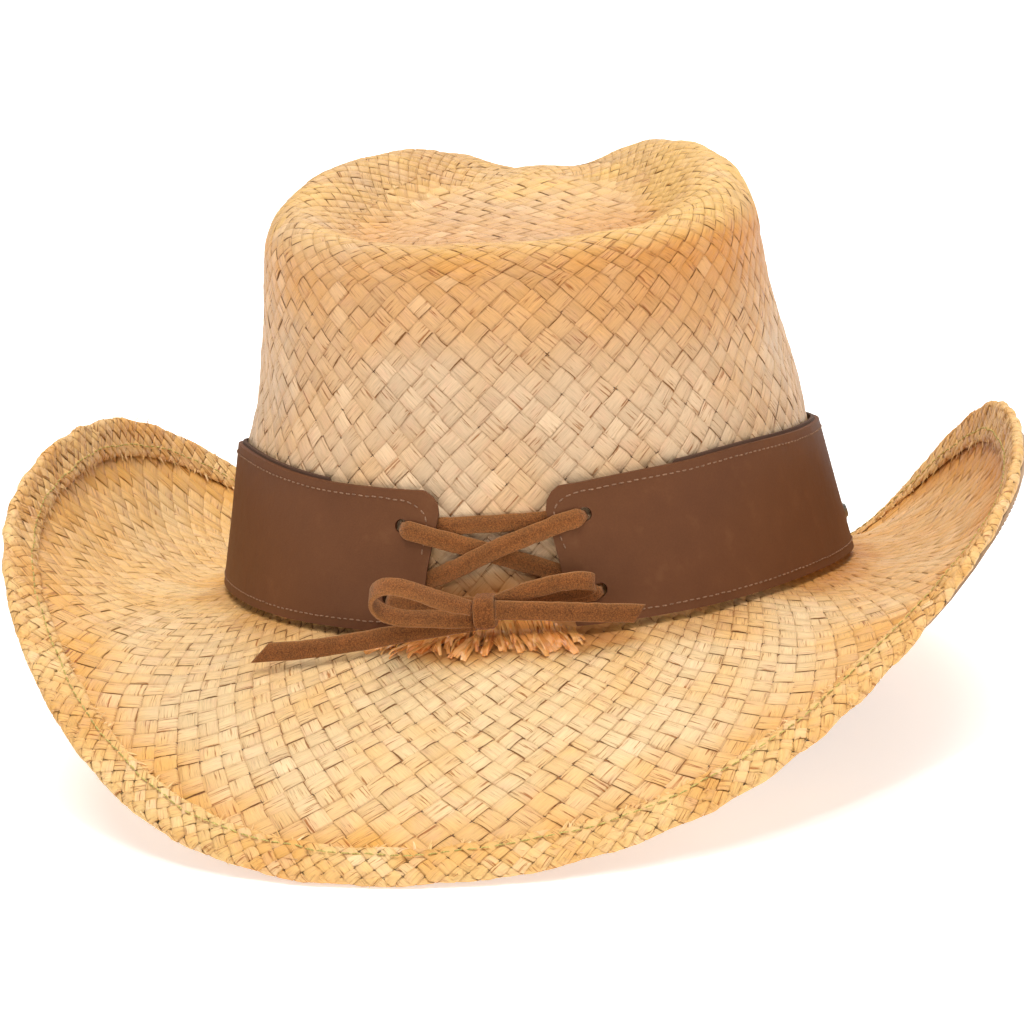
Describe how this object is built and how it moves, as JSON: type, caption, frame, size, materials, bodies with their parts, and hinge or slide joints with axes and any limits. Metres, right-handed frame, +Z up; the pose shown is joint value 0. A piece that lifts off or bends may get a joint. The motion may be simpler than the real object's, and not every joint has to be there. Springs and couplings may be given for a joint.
{
  "type": "cowboy hat",
  "caption": "Woven straw cowboy hat with a pinched crown, rolled wired brim and a brown leather hatband laced at the back with a suede bow.",
  "frame": {"origin": "middle of the footprint at the height of the lowest points of the brim edge, which the hat rests on, at the front and at the back", "axes": "+Z up through the crown, -Y the back of the hat where the band is laced, +Y the front, +X the wearer's right"},
  "size_m": [0.2806, 0.3575, 0.1584],
  "materials": {
    "straw": "woven raffia, satin, warm cream to golden tan",
    "straw_hem": "folded raffia hem, golden orange, frayed inner edge",
    "wire": "plain edge wire, hidden in the hem",
    "thread": "sewing thread",
    "leather": "smooth brown hatband leather",
    "backing": "thin dark backing",
    "suede": "tan suede lace, napped",
    "patch": "grey tan leather with a dark edge",
    "metal": "aged grey metal",
    "sweat": "dark brown sweatband"
  },
  "bodies": {
    "hat": {"crown": "straw", "brim": "straw", "brim_hem": "straw_hem", "brim_wire": "wire", "hem_stitching": "thread", "brim_patch": "patch", "patch_stitching": "thread", "sweatband": "sweat", "sweatband_stitching": "thread"},
    "band": {"hatband_leather": "leather", "hatband_backing": "backing", "hatband_stitching_upper": "thread", "hatband_stitching_lower": "thread", "rivet_cap_right": "metal", "rivet_cap_left": "metal", "rivet_post_right": "metal", "rivet_post_left": "metal", "lace_bar": "suede", "lace_strip_a": "suede", "lace_strip_b": "suede", "bow_knot": "suede", "bow_loop_left": "suede", "bow_loop_right": "suede", "lace_tail_left": "suede", "lace_tail_right": "suede"}
  },
  "joints": [
    {"name": "band_lift", "type": "slide", "parent": "hat", "child": "band", "axis": [0, 0, 1], "range_m": [0, 0.13]}
  ]
}
